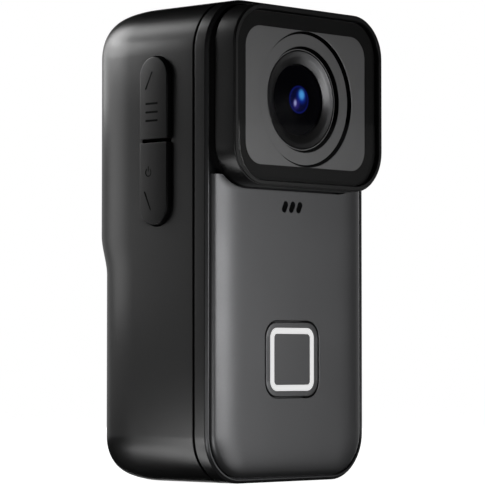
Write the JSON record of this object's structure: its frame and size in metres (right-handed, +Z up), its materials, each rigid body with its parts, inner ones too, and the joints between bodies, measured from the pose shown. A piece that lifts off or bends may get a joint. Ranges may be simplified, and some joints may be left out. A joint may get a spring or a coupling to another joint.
{
  "type": "action camera",
  "caption": "Upright pocket action camera with a proud square lens module, record button, side keys, port door and rear display.",
  "frame": {"origin": "on the ground under the middle of the camera", "axes": "+Z up; the lens looks along -Y; the side keys are on -X and the port door on +X"},
  "size_m": [0.0383, 0.031, 0.076],
  "materials": {
    "housing": "satin",
    "panel": "satin",
    "bezel": "satin",
    "key": "satin",
    "glass": "gloss",
    "black_glass": "gloss",
    "plate": "matte",
    "lens": "gloss",
    "black": "matte",
    "rubber": "matte",
    "white": "satin",
    "steel": "brushed",
    "gold": "satin",
    "board": "satin",
    "chip": "matte",
    "foil": "satin"
  },
  "bodies": {
    "case": {"antenna": "gold", "battery": "foil", "bezel_gasket": "rubber", "board_screw_1": "steel", "board_screw_2": "steel", "button_board": "board", "button_membrane": "rubber", "card_socket": "steel", "case_screw_1": "steel", "case_screw_2": "steel", "case_screw_3": "steel", "case_screw_4": "steel", "case_seal": "rubber", "cover_glass": "glass", "display_glass": "black_glass", "display_panel": "chip", "door_pin": "steel", "front_element": "lens", "front_frame": "housing", "front_panel": "panel", "image_sensor": "chip", "infrared_filter": "glass", "inner_chassis": "foil", "key_board": "board", "lens_barrel": "black", "lens_bezel": "bezel", "lens_holder": "black", "lens_ring": "bezel", "lens_screw_1": "steel", "lens_screw_2": "steel", "lens_surround": "plate", "lower_key_switch": "steel", "lower_magnet": "steel", "main_board": "board", "main_housing": "housing", "mask_frame": "black", "microphone": "steel", "middle_element": "glass", "port_bay": "black", "power_chip": "chip", "processor": "chip", "rear_element": "glass", "record_switch": "steel", "sensor_board": "board", "speaker": "black", "status_light": "white", "upper_key_switch": "steel", "upper_magnet": "steel", "usb_port": "steel"},
    "record_button": {"record_button": "panel", "button_ring": "white"},
    "upper_key": {"upper_key": "key"},
    "lower_key": {"lower_key": "key"},
    "port_door": {"port_door": "housing", "door_seal": "rubber"},
    "memory_card": {"memory_card": "black"}
  },
  "joints": [
    {"name": "record_button_press", "type": "slide", "parent": "case", "child": "record_button", "axis": [0, 1, 0], "range_m": [0, 0.0004], "stiffness_N_per_m": 600, "springref_m": -0.001},
    {"name": "upper_key_press", "type": "slide", "parent": "case", "child": "upper_key", "axis": [1, 0, 0], "range_m": [0, 0.0004], "stiffness_N_per_m": 600, "springref_m": -0.001},
    {"name": "lower_key_press", "type": "slide", "parent": "case", "child": "lower_key", "axis": [1, 0, 0], "range_m": [0, 0.0004], "stiffness_N_per_m": 600, "springref_m": -0.001},
    {"name": "port_door_hinge", "type": "hinge", "parent": "case", "child": "port_door", "pos_m": [0.01775, 0.00945, 0.027], "axis": [0, 0, 1], "range_deg": [0, 100]},
    {"name": "memory_card_slide", "type": "slide", "parent": "case", "child": "memory_card", "axis": [1, 0, 0], "range_m": [0, 0.0015]}
  ]
}
